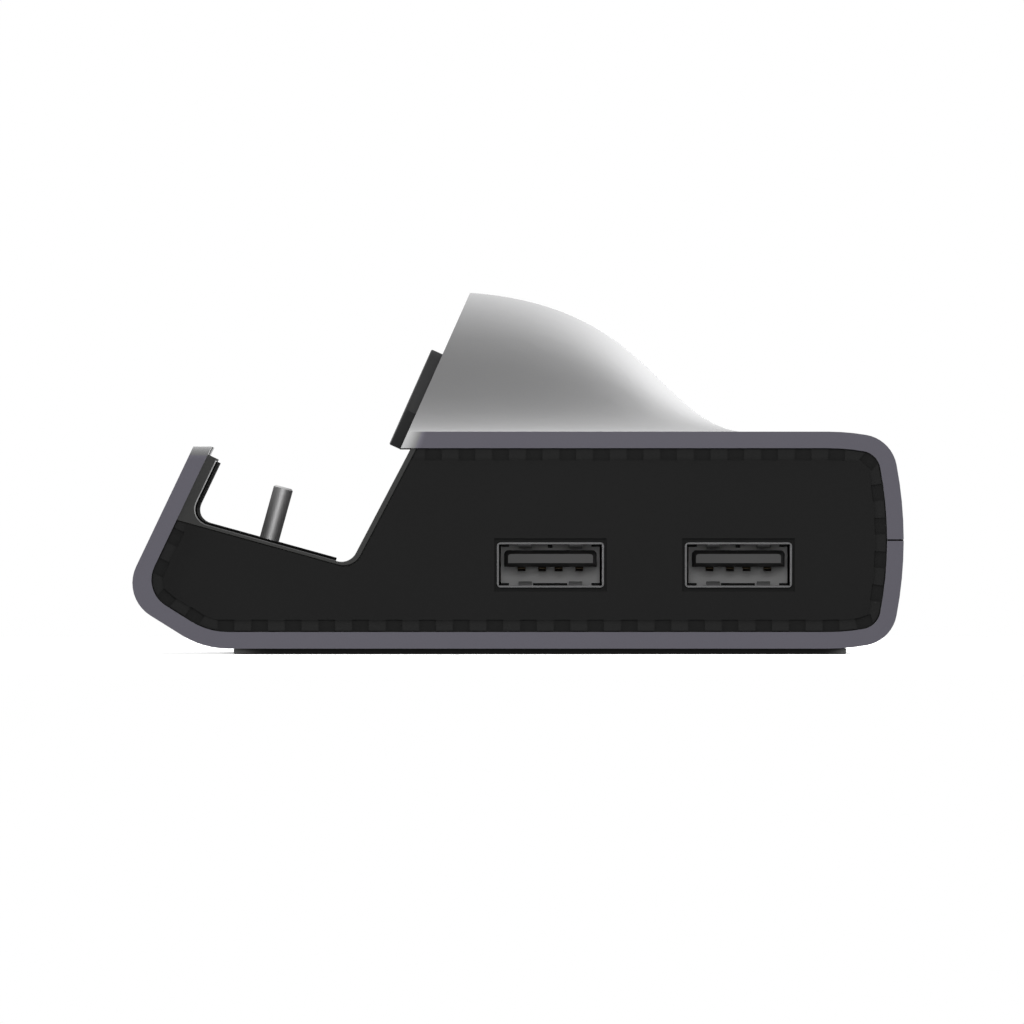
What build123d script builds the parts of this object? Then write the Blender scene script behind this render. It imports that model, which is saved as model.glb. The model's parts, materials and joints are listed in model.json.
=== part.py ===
from build123d import *
import math
import os

os.makedirs("parts", exist_ok=True)

# Overall size
width = 120.0
depth = 93.5
body_height = 26.3
crest_z = 44.1
shell_wall = 2.0
foot_thick = 0.7
seam_gap = 0.2
seam_groove = 0.2
seam_end = 0.6
edge_break = 0.3

# Levels that the pieces share
end_x = width / 2
rear_y = depth / 2
floor_z = foot_thick
top_z = floor_z + body_height
seam_z = floor_z + body_height / 2
floor_top = floor_z + shell_wall
roof_z = top_z - shell_wall

# Fits
slip = 0.3
panel_gap = 0.15
seat_gap = 0.15

# Front bend and leaning lip
front_overhang = 1.33
corner_y = -rear_y - front_overhang
corner_z = 6.9
bend_run = 9.93
bend_y = corner_y + bend_run
lip_lean = math.radians(25.5)
lip_top_z = 25.2
corner_r = 4.65
corner_inner_r = 3.7
bend_r = 10.5
lip_corner_r = 1.5

# Round back: an easing arc, a tight arc and a broad arc on each side of the seam
ease_r = 27.3
ease_turn = 9.8
tight_r = 4.5
tight_turn = 69.3

# Hump that carries the backrest
crest_run = 42.41
crest_y = corner_y + crest_run
back_lean = math.radians(24.1)
hump_run = 34.7
hump_half = 38.0
hump_fullness = 1.72
hump_lead = 0.14
hump_sink = 0.08
hump_core_half = 16.0
core_drop = 2.8
core_flat_run = 10.7
core_knee_run = 19.7
core_knee_rise = 8.0
core_rear_run = 26.7
core_r = 3.0
plate_corner_r = 2.2
plate_front_y = crest_y - (crest_z - roof_z) * math.tan(back_lean)

# Cradle trough
cradle_wall = 1.13
tray_tilt = math.radians(15.45)
seat_run = 27.68
seat_y = corner_y + seat_run
seat_z = 10.78
wall_lean = math.radians(27.7)
tray_lap = 0.25
wall_lap = 0.55
seat_corner_r = 2.0
lip_inset = 1.6
flange_run = 13.0
flange_thick = 2.0
flange_setback = 0.33
flange_front_y = seat_y + (roof_z - seat_z) * math.tan(wall_lean) + flange_setback

# Silicone liner
liner_thick = 0.4
liner_corner_r = 2.15
liner_setback = 1.7
liner_rear_y = seat_y - liner_setback
liner_end = 0.3

# Pads
pad_thick = 1.48
pad_length = 12.6
pad_straight = 4.6
pad_half = 29.0
pad_top_half = 24.0
pad_r = 1.2
foot_front_inset = 3.65
foot_rear_inset = 6.85
foot_side_inset = 7.0
foot_front_y = bend_y + foot_front_inset
foot_rear_y = rear_y - foot_rear_inset
foot_half = end_x - foot_side_inset
foot_r = 5.0

# End panels
panel_recess = 0.7
panel_thick = 1.8
reveal_deep = 1.3
band_wide = 1.25
band_deep = 0.4
notch_wide = 2.0
notch_high = 1.45
notch_deep = 1.2
notch_first = 3.95
notch_count = 42
notch_pitch = 4.075
window_gap = 0.47
window_side_gap = 0.3
clip_long = 5.0
clip_wide = 9.0
clip_thick = 1.2

# Console plug
plug_setback = 9.85
plug_y = seat_y - plug_setback
plug_long = 6.65
plug_wide = 8.25
plug_thick = 2.4
plug_wall = 0.3
plug_bevel = 0.2
plug_hole_gap = 0.5
plug_contact_pitch = 0.5
plug_contact_wide = 0.25
plug_contact_thick = 0.2
plug_contact_count = 12

# Plug carrier and its board
carrier_x = 26.0
carrier_y = 8.0
carrier_high = 4.4
plug_board_thick = 1.0
plug_screw_x = 10.0

# Sockets on the right end
usb_inset = 20.02
usb_pitch = 22.79
usb_y = rear_y - usb_inset - usb_pitch
usb_z = 10.84
usb_wide = 13.0
usb_high = 5.5
usb_sheet = 0.25
usb_deep = 14.0
tongue_wide = 11.2
tongue_thick = 2.0
tongue_rise = 0.78
tongue_setback = 0.9
tongue_bevel = 0.45
tongue_root = 5.0
usb_contact_y = (-3.5, -1.0, 1.0, 3.5)
contact_wide = 1.0
contact_thick = 0.3
tongue_step = 0.5
spring_pitch = 6.1
spring_wide = 1.6
spring_high = 0.5
spring_long = 4.0
spring_setback = 1.2

# Chips and small parts, placed from the middle of the main board
chip_high = 1.0
hub_spot = (8.0, -8.0)
hub_side = 9.0
video_spot = (-16.0, -6.0)
video_side = 7.0
lan_chip_spot = (-18.0, 15.0)
lan_chip_side = 6.0
power_chip_spot = (-34.0, -14.0)
power_chip_side = 5.0
transformer_spot = (-31.0, 6.0)
transformer_x = 9.0
transformer_y = 7.0
transformer_high = 3.0
capacitor_spots = [(30.0, -10.0), (30.0, 8.0), (-24.0, -21.0)]
capacitor_x = 3.5
capacitor_y = 2.8
capacitor_high = 1.9
inductor_spots = [(-14.0, -18.0), (-6.0, -18.0)]
inductor_side = 5.0
inductor_high = 3.0
small_spots = [(8.0, 2.0), (8.0, -18.0), (-16.0, 3.0)]
small_x = 1.2
small_y = 0.7
small_high = 0.6
small_pitch = 2.4
thermal_side = 14.0

# Flat cable
socket_high = 1.2
socket_deep = 3.6
socket_margin = 1.0
ribbon_wide = 12.0
ribbon_thick = 0.2
ribbon_lead = 4.0
ribbon_bend_r = 3.0

# Main board
board_thick = 1.6
board_top = usb_z - usb_high / 2
board_low = board_top - board_thick
board_front_gap = 5.4
board_rear_gap = 7.75
board_side_gap = 1.0
board_front_y = seat_y + board_front_gap
board_rear_y = rear_y - board_rear_gap
board_half = end_x - panel_recess - panel_thick - board_side_gap
board_mid_y = (board_front_y + board_rear_y) / 2

# Sockets on the left end
power_run = 10.4
power_y = seat_y + power_run
power_wide = 8.94
power_high = 3.26
power_sheet = 0.3
power_deep = 7.4
hdmi_wide = 15.0
hdmi_high = 6.0
hdmi_sheet = 0.35
hdmi_deep = 11.5
hdmi_shoulder = 2.4
lan_inset = 16.75
lan_y = rear_y - lan_inset
lan_wide = 16.0
lan_high = 13.4
lan_deep = 16.0
lan_sheet = 0.25
lan_mouth_wide = 11.8
lan_mouth_high = 8.2
lan_mouth_deep = 12.5
lan_sink = 0.5
lan_latch = 2.0
lan_contact_pitch = 1.02
lan_contact_wide = 0.4
lan_contact_drop = 1.2
lan_contact_count = 8
hdmi_y = (power_y + power_wide / 2 + lan_y - lan_wide / 2) / 2

# Fasteners
screw_r = 1.0
head_r = 1.9
head_high = 1.2
case_screw_r = 1.25
case_head_r = 2.5
case_screw_long = 11.0
post_r = 3.2
rear_post_side = 24.0
rear_post_inset = 17.25
rear_post_x = end_x - rear_post_side
rear_post_y = rear_y - rear_post_inset
front_post_side = 16.0
front_post_run = 10.1
front_post_x = end_x - front_post_side
front_post_y = seat_y - front_post_run
flange_screw_side = 17.0
flange_screw_run = 7.6
flange_screw_x = end_x - flange_screw_side
flange_screw_y = flange_front_y + flange_screw_run
flange_thread = 1.4
standoff_r = 3.0
standoff_side = 22.0
standoff_run = 5.0
standoff_x = end_x - standoff_side
standoff_y = board_front_y + standoff_run
post_hole_top = floor_z + case_screw_long + slip
up_from = (Align.CENTER, Align.CENTER, Align.MIN)
case_screw_spots = [
    (front_post_x, front_post_y, floor_z),
    (-front_post_x, front_post_y, floor_z),
    (rear_post_x, rear_post_y, floor_z),
    (-rear_post_x, rear_post_y, floor_z),
]
flange_screw_spots = [
    (flange_screw_x, flange_screw_y, roof_z - flange_thick),
    (-flange_screw_x, flange_screw_y, roof_z - flange_thick),
]

# Shared lines
lip_up = Vector(math.sin(lip_lean), math.cos(lip_lean))
lip_in = Vector(math.cos(lip_lean), -math.sin(lip_lean))
tray_back = Vector(math.cos(tray_tilt), -math.sin(tray_tilt))
tray_up = Vector(math.sin(tray_tilt), math.cos(tray_tilt))
wall_up = Vector(math.sin(wall_lean), math.cos(wall_lean))
wall_in = Vector(-math.cos(wall_lean), math.sin(wall_lean))
lip_corner = Vector(corner_y, corner_z)
seat_corner = Vector(seat_y, seat_z)
front_plane = Plane(
    origin=(0, crest_y, crest_z),
    x_dir=(1, 0, 0),
    z_dir=(0, -math.cos(back_lean), math.sin(back_lean)),
)
plug_z = seat_z + (seat_y - plug_y) * math.tan(tray_tilt) + liner_thick / math.cos(tray_tilt)
plug_plane = Plane(origin=(0, plug_y, plug_z), x_dir=(1, 0, 0), z_dir=(0, tray_up.X, tray_up.Y))


def meet(point_a, way_a, point_b, way_b):
    gap = point_b - point_a
    reach = (gap.X * way_b.Y - gap.Y * way_b.X) / (way_a.X * way_b.Y - way_a.Y * way_b.X)
    return point_a + way_a * reach


broad_turn = 90 - ease_turn - tight_turn
ease_end = math.radians(ease_turn)
tight_end = math.radians(ease_turn + tight_turn)
tight_rise = tight_r * (math.cos(ease_end) - math.cos(tight_end))
broad_r = (body_height / 2 - ease_r * (1 - math.cos(ease_end)) - tight_rise) / math.cos(tight_end)
tight_run = tight_r * (math.sin(tight_end) - math.sin(ease_end))
round_y = rear_y - ease_r * math.sin(ease_end) - tight_run - broad_r * (1 - math.sin(tight_end))
bend_point = Vector(bend_y, floor_z)
rise_way = (bend_point - lip_corner).normalized()
rise_in = Vector(-rise_way.Y, rise_way.X)


def round_line(inset):
    path = (round_y, floor_z + inset)
    way = (1, 0)
    for radius, turn in (
        (ease_r, ease_turn),
        (tight_r, tight_turn),
        (broad_r, 2 * broad_turn),
        (tight_r, tight_turn),
        (ease_r, ease_turn),
    ):
        arc = JernArc(path, way, radius - inset, turn)
        path = arc @ 1
        way = arc % 1


def lip_head(inset):
    foot = lip_corner + lip_in * inset
    return foot + lip_up * ((lip_top_z + shell_wall - foot.Y) / lip_up.Y)


def front_corner(inset):
    return meet(lip_corner + lip_in * inset, lip_up, lip_corner + rise_in * inset, rise_way)


def front_bend(inset):
    return meet(front_corner(inset), rise_way, bend_point + Vector(0, inset), Vector(1, 0))


def shell_line(inset):
    Polyline(lip_head(inset), front_corner(inset), front_bend(inset), (round_y, floor_z + inset))
    round_line(inset)
    Line((round_y, top_z - inset), (plate_front_y - shell_wall, top_z - inset))


def space_within(inset):
    with BuildSketch() as space:
        with BuildLine():
            shell_line(inset)
            Line((plate_front_y - shell_wall, top_z - inset), lip_head(inset))
        make_face()
        corner = space.vertices().sort_by_distance(front_corner(inset))[0]
        fillet(corner, corner_inner_r + shell_wall - inset)
        fillet(space.vertices().sort_by_distance(front_bend(inset))[0], bend_r - inset)
    return space.sketch


# Section shared by the two shells
with BuildSketch() as shell_section:
    with BuildLine():
        shell_line(0)
        shell_line(shell_wall)
        Line(lip_head(0), lip_head(shell_wall))
        Line((plate_front_y - shell_wall, top_z), (plate_front_y - shell_wall, roof_z))
    make_face()
    fillet(shell_section.vertices().sort_by_distance(front_corner(0))[0], corner_r)
    fillet(shell_section.vertices().sort_by_distance(front_corner(shell_wall))[0], corner_inner_r)
    fillet(shell_section.vertices().sort_by_distance(front_bend(0))[0], bend_r)
    fillet(shell_section.vertices().sort_by_distance(front_bend(shell_wall))[0], bend_r - shell_wall)

# Lower shell: floor, front bend, lip and lower half of the round back
with BuildPart() as lower_shell:
    with BuildSketch(Plane.YZ.offset(-end_x)):
        add(shell_section.sketch)
    extrude(amount=width)
    with Locations((0, lip_head(shell_wall).X, seam_z - seam_gap / 2)):
        Box(2 * width, depth, depth, align=(Align.CENTER, Align.MIN, Align.MIN), mode=Mode.SUBTRACT)
    split(bisect_by=Plane.XY.offset(lip_top_z), keep=Keep.BOTTOM)
    with Locations((0, rear_y - shell_wall, seam_z - seam_gap / 2)):
        Box(width - 2 * seam_end, shell_wall - seam_groove, seam_gap,
            align=(Align.CENTER, Align.MIN, Align.MIN))
    lip_edges = lower_shell.edges().filter_by_position(Axis.Z, lip_top_z - 0.01, lip_top_z + 0.01)
    fillet(lip_edges.filter_by(Axis.Y), lip_corner_r)
    with Locations(*case_screw_spots):
        Cone(case_head_r + slip, case_screw_r + slip, shell_wall, align=up_from, mode=Mode.SUBTRACT)

# Hump: one smooth bell that flares into the top plate, half of it as a curved net of points
run_knots = [0.0, hump_run * 2 / 3, hump_run * 2 / 3, hump_run]
rise_knots = [1.0, (1 + hump_fullness) / 3, 0.0, 0.0]
side_knots = [0.0, 0.6, 0.78, 0.69, 0.82, 1.06]
side_rises = [1.0, 1.0, 1.0, 0.0, 0.0, 0.0]


def stretch(knots, start):
    ends = [knots[3]]
    while len(knots) > 1:
        knots = [(1 - start) * a + start * b for a, b in zip(knots, knots[1:])]
        ends.insert(0, knots[-1])
    return ends


run_knots = stretch(run_knots, -hump_lead)
rise_knots = stretch(rise_knots, -hump_lead)
hump_net = []
for side, side_rise in zip(side_knots, side_rises):
    row = []
    for run, rise in zip(run_knots, rise_knots):
        level = top_z - hump_sink + (crest_z - top_z + hump_sink) * side_rise * rise
        row.append(Vector(side * hump_half, crest_y + run, level))
    hump_net.append(row)
with BuildPart() as hump:
    extrude(Face.make_bezier_surface(hump_net), amount=crest_z, dir=(0, 0, -1))
    split(bisect_by=Plane.XY.offset(top_z - shell_wall / 2), keep=Keep.TOP)
    split(bisect_by=front_plane, keep=Keep.BOTTOM)
    mirror(about=Plane.YZ)

# Upper shell: top plate, hollow hump and upper half of the round back
with BuildPart() as upper_shell:
    with BuildSketch(Plane.YZ.offset(-end_x)):
        add(shell_section.sketch)
    extrude(amount=width)
    split(bisect_by=Plane.XY.offset(seam_z + seam_gap / 2), keep=Keep.TOP)
    split(bisect_by=front_plane, keep=Keep.BOTTOM)
    plate_ends = upper_shell.faces().sort_by(Axis.Y)[0].edges().sort_by(Axis.X)
    fillet([plate_ends[0], plate_ends[-1]], plate_corner_r)
    add(hump.part)
    core_top = crest_z - core_drop
    core_front = plate_front_y + shell_wall / math.cos(back_lean)
    core_crest_y = core_front + (core_top - roof_z) * math.tan(back_lean)
    with BuildSketch(Plane.YZ.offset(-hump_core_half)) as core:
        with BuildLine():
            Polyline((core_front, roof_z), (core_crest_y, core_top),
                     (crest_y + core_flat_run, core_top - core_r / 2),
                     (crest_y + core_knee_run, roof_z + core_knee_rise), (crest_y + core_rear_run, roof_z),
                     close=True)
        make_face()
        fillet(core.vertices().sort_by(Axis.Y)[2:], core_r)
    extrude(amount=2 * hump_core_half, mode=Mode.SUBTRACT)
    with Locations((rear_post_x, rear_post_y, board_top), (-rear_post_x, rear_post_y, board_top)):
        Cylinder(post_r, roof_z - board_top, align=up_from)
        Cylinder(case_screw_r + slip, post_hole_top - board_top, align=up_from, mode=Mode.SUBTRACT)
    with Locations(*flange_screw_spots):
        Cylinder(screw_r + slip, flange_thick + flange_thread, align=up_from, mode=Mode.SUBTRACT)

# Line of the trough: lip face, tray and back wall
trough_lip = lip_corner + lip_in * (shell_wall + cradle_wall)
trough_corner = meet(trough_lip, lip_up, seat_corner, tray_back)
trough_top = seat_corner + wall_up * ((roof_z - seat_z) / wall_up.Y)
lip_end = trough_lip + lip_up * ((lip_top_z - trough_lip.Y) / lip_up.Y - lip_inset)

# Edge of the thinned ends of the trough, which lap over the end panels
rebate_seat = meet(seat_corner - tray_up * tray_lap, tray_back, seat_corner - wall_in * wall_lap, wall_up)

# Zone above an end panel
panel_seat = meet(seat_corner - tray_up * (tray_lap + seat_gap), tray_back,
                  seat_corner - wall_in * (wall_lap + seat_gap), wall_up)
with BuildSketch() as console_zone:
    with BuildLine():
        Polyline(panel_seat - tray_back * depth, panel_seat, panel_seat + wall_up * depth, close=True)
    make_face()
    fillet(console_zone.vertices().sort_by_distance(panel_seat)[0], seat_corner_r)

# Cradle: inner lip, tray and back wall in one moulding, with a flange under the top plate
cradle_end = end_x - panel_recess
plug_slot_x = plug_wide + 2 * plug_hole_gap
plug_slot_y = plug_thick + 2 * plug_hole_gap
with BuildPart() as cradle:
    with BuildSketch(Plane.YZ.offset(-cradle_end)) as cradle_section:
        with BuildLine():
            Polyline(lip_end, trough_corner, seat_corner, trough_top + wall_up)
            offset(amount=cradle_wall, side=Side.RIGHT, kind=Kind.INTERSECTION)
        make_face()
        fillet(cradle_section.vertices().sort_by_distance(trough_corner)[0], liner_corner_r)
        fillet(cradle_section.vertices().sort_by_distance(seat_corner)[0], seat_corner_r)
        with Locations((flange_front_y, roof_z)):
            Rectangle(flange_run, flange_thick, align=(Align.MIN, Align.MAX))
        with Locations((0, roof_z)):
            Rectangle(2 * depth, depth, align=(Align.CENTER, Align.MIN), mode=Mode.SUBTRACT)
    extrude(amount=2 * cradle_end)
    with BuildSketch(Plane.XY.offset(floor_top)):
        with Locations((front_post_x, front_post_y), (-front_post_x, front_post_y)):
            Circle(post_r)
    extrude(until=Until.NEXT)
    with Locations((front_post_x, front_post_y, floor_top), (-front_post_x, front_post_y, floor_top)):
        Cylinder(case_screw_r + slip, post_hole_top - floor_top, align=up_from, mode=Mode.SUBTRACT)
    with Locations(*flange_screw_spots):
        Cylinder(screw_r + slip, flange_thick, align=up_from, mode=Mode.SUBTRACT)
    with BuildSketch(plug_plane):
        SlotOverall(plug_slot_x, plug_slot_y)
    extrude(amount=-3 * cradle_wall, mode=Mode.SUBTRACT)
    with BuildSketch(Plane.YZ.offset(end_x - panel_recess - panel_thick - panel_gap)) as rebate_section:
        with BuildLine():
            Polyline(rebate_seat - tray_back * depth, rebate_seat, rebate_seat + wall_up * depth,
                     rebate_seat + Vector(depth, -depth), rebate_seat - Vector(depth, depth), close=True)
        make_face()
        fillet(rebate_section.vertices().sort_by_distance(rebate_seat)[0], seat_corner_r + 2 * seat_gap)
    rebate = extrude(amount=end_x, mode=Mode.SUBTRACT)
    mirror(rebate, about=Plane.YZ, mode=Mode.SUBTRACT)

# Liner: one silicone sheet bent over lip and tray
with BuildPart() as cradle_liner:
    liner_start = lip_end - lip_up * liner_end
    liner_stop = seat_corner - tray_back * ((seat_y - liner_rear_y) / tray_back.X)
    with BuildSketch(Plane.YZ.offset(liner_end - cradle_end)) as liner_section:
        with BuildLine():
            Polyline(liner_start, trough_corner, liner_stop)
            offset(amount=liner_thick, side=Side.LEFT, kind=Kind.INTERSECTION)
        make_face()
        liner_inner = meet(trough_lip + lip_in * liner_thick, lip_up,
                           seat_corner + tray_up * liner_thick, tray_back)
        fillet(liner_section.vertices().sort_by_distance(trough_corner)[0], liner_corner_r)
        fillet(liner_section.vertices().sort_by_distance(liner_inner)[0], liner_corner_r - liner_thick)
    extrude(amount=2 * (cradle_end - liner_end))
    with BuildSketch(plug_plane):
        SlotOverall(plug_slot_x, plug_slot_y)
    extrude(amount=2 * liner_thick, both=True, mode=Mode.SUBTRACT)

# End panel blank: plate pressed into the shells, with a reveal and a notched vent band along its edge
rim_inset = shell_wall + panel_gap + band_wide / 2
with BuildLine() as rim:
    Line((plate_front_y, top_z - rim_inset), (round_y, top_z - rim_inset))
    round_line(rim_inset)
    FilletPolyline((round_y, floor_z + rim_inset), front_bend(rim_inset), front_corner(rim_inset),
                   lip_head(rim_inset), radius=corner_inner_r + shell_wall - rim_inset)
rim_wire = rim.wire()
panel_face_x = end_x - panel_recess
with BuildPart() as panel_blank:
    with BuildSketch(Plane.YZ.offset(panel_face_x)):
        add(space_within(shell_wall + panel_gap))
        add(console_zone.sketch, mode=Mode.SUBTRACT)
    extrude(amount=-reveal_deep)
    with BuildSketch(Plane.YZ.offset(panel_face_x - reveal_deep)):
        add(space_within(shell_wall))
        add(console_zone.sketch, mode=Mode.SUBTRACT)
    extrude(amount=reveal_deep - panel_thick)
    with BuildSketch(Plane.YZ.offset(panel_face_x)):
        add(space_within(shell_wall / 2))
        add(space_within(shell_wall + panel_gap + band_wide), mode=Mode.SUBTRACT)
    extrude(amount=-band_deep, mode=Mode.SUBTRACT)
    with BuildSketch(Plane.YZ.offset(panel_face_x)):
        for notch in range(notch_count):
            spot = rim_wire.position_at(notch_first + notch * notch_pitch, position_mode=PositionMode.LENGTH)
            way = rim_wire.tangent_at(notch_first + notch * notch_pitch, position_mode=PositionMode.LENGTH)
            with Locations((spot.X, spot.Y)):
                Rectangle(notch_wide, notch_high, rotation=math.degrees(math.atan2(way.Y, way.X)))
    extrude(amount=-notch_deep, mode=Mode.SUBTRACT)
    for clip_y in (foot_front_y + clip_wide, 0, foot_rear_y - clip_wide):
        with Locations((panel_face_x - panel_thick, clip_y, floor_top)):
            Box(clip_long, clip_wide, clip_thick, align=(Align.MAX, Align.CENTER, Align.MIN))

# Right end panel with the two wide windows
with BuildPart() as end_panel_right:
    add(panel_blank.part)
    with BuildSketch(Plane.YZ.offset(panel_face_x)):
        with Locations((usb_y, usb_z), (usb_y + usb_pitch, usb_z)):
            Rectangle(usb_wide + 2 * window_side_gap, usb_high + 2 * window_gap)
    extrude(amount=-reveal_deep, mode=Mode.SUBTRACT)
    with BuildSketch(Plane.YZ.offset(panel_face_x)):
        with Locations((usb_y, usb_z), (usb_y + usb_pitch, usb_z)):
            RectangleRounded(usb_wide, usb_high, 2 * usb_sheet)
    extrude(amount=-panel_thick, mode=Mode.SUBTRACT)

# Left end panel with the windows for power, video and network
power_z = board_top + power_high / 2
hdmi_z = board_top + hdmi_high / 2
lan_z = board_top + lan_high / 2
with BuildPart() as end_panel_left:
    mirror(panel_blank.part, about=Plane.YZ)
    with BuildSketch(Plane.YZ.offset(-panel_face_x)):
        with Locations((power_y, power_z)):
            SlotOverall(power_wide + 2 * window_gap, power_high + 2 * window_gap)
        with Locations((hdmi_y, hdmi_z)):
            Rectangle(hdmi_wide + 2 * window_side_gap, hdmi_high + 2 * window_side_gap)
        with Locations((lan_y, lan_z)):
            Rectangle(lan_wide + 2 * window_side_gap, lan_high + 2 * window_side_gap)
    extrude(amount=panel_thick, mode=Mode.SUBTRACT)

# Backrest pad on the front plane
pad_low = (roof_z - crest_z) / math.cos(back_lean)
with BuildPart() as backrest_pad:
    with BuildSketch(front_plane) as pad_outline:
        with BuildLine():
            Polyline((-pad_half, pad_low), (pad_half, pad_low), (pad_half, pad_low + pad_straight),
                     (pad_top_half, pad_low + pad_length), (-pad_top_half, pad_low + pad_length),
                     (-pad_half, pad_low + pad_straight), close=True)
        make_face()
        fillet(pad_outline.vertices().group_by(Axis.Y)[-1], pad_r)
    extrude(amount=pad_thick)
    pad_front = backrest_pad.faces().filter_by(front_plane).sort_by(Axis.Y)[0]
    chamfer(pad_front.edges().sort_by(Axis.Z)[0], edge_break)

# Foot pad under the floor
with BuildPart() as foot_pad:
    with BuildSketch():
        with Locations((0, (foot_front_y + foot_rear_y) / 2)):
            RectangleRounded(2 * foot_half, foot_rear_y - foot_front_y, foot_r)
    extrude(amount=foot_thick)
    chamfer(foot_pad.faces().sort_by(Axis.Z)[0].edges(), edge_break / 2)

# Console plug: sleeve, core and contacts
tray_under = liner_thick + cradle_wall
plug_tail = tray_under + carrier_high
with BuildPart() as plug_shell:
    with BuildSketch(plug_plane.offset(-plug_tail)):
        SlotOverall(plug_wide, plug_thick)
    extrude(amount=plug_tail + plug_long)
    chamfer(plug_shell.faces().sort_by(Axis.Z)[-1].edges(), plug_bevel)
    with BuildSketch(plug_plane.offset(plug_long)):
        SlotOverall(plug_wide - 2 * plug_wall, plug_thick - 2 * plug_wall)
    extrude(amount=-plug_long - plug_tail, mode=Mode.SUBTRACT)
core_wide = plug_wide - 2 * plug_wall - 2 * slip
core_thick = plug_thick - 2 * plug_wall - 2 * slip
with BuildPart() as plug_core:
    with BuildSketch(plug_plane.offset(-plug_tail)):
        Rectangle(core_wide, core_thick)
    extrude(amount=plug_tail + plug_wall)
with BuildPart() as plug_contacts:
    with BuildSketch(plug_plane.offset(plug_wall)):
        with GridLocations(plug_contact_pitch, core_thick / 2, plug_contact_count, 2):
            Rectangle(plug_contact_wide, plug_contact_thick)
    extrude(amount=plug_long - 4 * plug_wall)

# Carrier block that holds the plug under the tray
with BuildPart() as plug_carrier:
    with BuildSketch(plug_plane.offset(-tray_under)):
        Rectangle(carrier_x, carrier_y)
        SlotOverall(plug_wide + 2 * slip, plug_thick + 2 * slip, mode=Mode.SUBTRACT)
        with GridLocations(2 * plug_screw_x, 0, 2, 1):
            Circle(screw_r + slip, mode=Mode.SUBTRACT)
    extrude(amount=-carrier_high)
plug_board_top = -tray_under - carrier_high
with BuildPart() as plug_board:
    with BuildSketch(plug_plane.offset(plug_board_top)):
        Rectangle(carrier_x, carrier_y)
        with GridLocations(2 * plug_screw_x, 0, 2, 1):
            Circle(screw_r + slip, mode=Mode.SUBTRACT)
    extrude(amount=-plug_board_thick)
plug_board_low = plug_board_top - plug_board_thick
with BuildPart() as plug_screws:
    with BuildSketch(plug_plane.offset(plug_board_low)):
        with GridLocations(2 * plug_screw_x, 0, 2, 1):
            Circle(head_r)
    extrude(amount=-head_high)
    with BuildSketch(plug_plane.offset(plug_board_low)):
        with GridLocations(2 * plug_screw_x, 0, 2, 1):
            Circle(screw_r)
    extrude(amount=plug_board_thick + carrier_high)

# Main board, clamped by the rear posts on hexagonal standoffs
rear_posts = [(rear_post_x, rear_post_y), (-rear_post_x, rear_post_y)]
with BuildPart() as main_board:
    with BuildSketch(Plane.XY.offset(board_low)):
        with Locations((0, board_mid_y)):
            Rectangle(2 * board_half, board_rear_y - board_front_y)
        with Locations(*rear_posts):
            Circle(case_screw_r + slip, mode=Mode.SUBTRACT)
    extrude(amount=board_thick)
with BuildPart() as standoffs:
    with BuildSketch(Plane.XY.offset(floor_top)):
        with Locations(*rear_posts):
            RegularPolygon(standoff_r, 6)
            Circle(case_screw_r + slip, mode=Mode.SUBTRACT)
        with Locations((standoff_x, standoff_y), (-standoff_x, standoff_y)):
            RegularPolygon(standoff_r, 6)
    extrude(amount=board_low - floor_top)

# Screws through the floor and through the cradle flange
with BuildPart() as case_screws:
    with Locations(*case_screw_spots):
        Cone(case_head_r, case_screw_r, shell_wall, align=up_from)
        Cylinder(case_screw_r, case_screw_long, align=up_from)
with BuildPart() as cradle_screws:
    with Locations(*flange_screw_spots):
        Cylinder(head_r, head_high, align=(Align.CENTER, Align.CENTER, Align.MAX))
        Cylinder(screw_r, flange_thick + flange_thread - slip, align=up_from)

# First USB-A socket: folded sleeve with springs, tongue and contacts
usb_hole_wide = usb_wide - 2 * usb_sheet
usb_hole_high = usb_high - 2 * usb_sheet
with BuildPart() as usb_a_front_shell:
    with BuildSketch(Plane.YZ.offset(panel_face_x)):
        with Locations((usb_y, usb_z)):
            RectangleRounded(usb_wide, usb_high, 2 * usb_sheet)
            Rectangle(usb_hole_wide, usb_hole_high, mode=Mode.SUBTRACT)
    extrude(amount=-usb_deep)
    with BuildSketch(Plane.YZ.offset(panel_face_x - spring_setback)):
        with Locations((usb_y, usb_z)):
            with GridLocations(spring_pitch, usb_hole_high - spring_high, 2, 2):
                Rectangle(spring_wide, spring_high)
    extrude(amount=-spring_long)
    spring_x = panel_face_x - spring_setback
    spring_reach = usb_hole_high / 2 - usb_sheet
    spring_ends = usb_a_front_shell.edges().filter_by(Axis.Y)
    spring_ends = spring_ends.filter_by_position(Axis.X, spring_x - usb_sheet, spring_x + usb_sheet)
    spring_ends = spring_ends.filter_by_position(Axis.Z, usb_z - spring_reach, usb_z + spring_reach)
    chamfer(spring_ends, 0.9 * spring_high)
tongue_z = usb_z + tongue_rise
with BuildPart() as usb_a_front_tongue:
    with BuildSketch(Plane.YZ.offset(panel_face_x - usb_deep)):
        with Locations((usb_y, usb_z)):
            Rectangle(usb_hole_wide - 2 * usb_sheet, usb_hole_high)
    extrude(amount=tongue_root)
    with BuildSketch(Plane.YZ.offset(panel_face_x - usb_deep)):
        with Locations((usb_y, tongue_z)):
            Rectangle(tongue_wide, tongue_thick)
    extrude(amount=usb_deep - tongue_setback)
    tongue_face = usb_a_front_tongue.faces().sort_by(Axis.X)[-1]
    chamfer(tongue_face.edges(), tongue_bevel)
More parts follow.
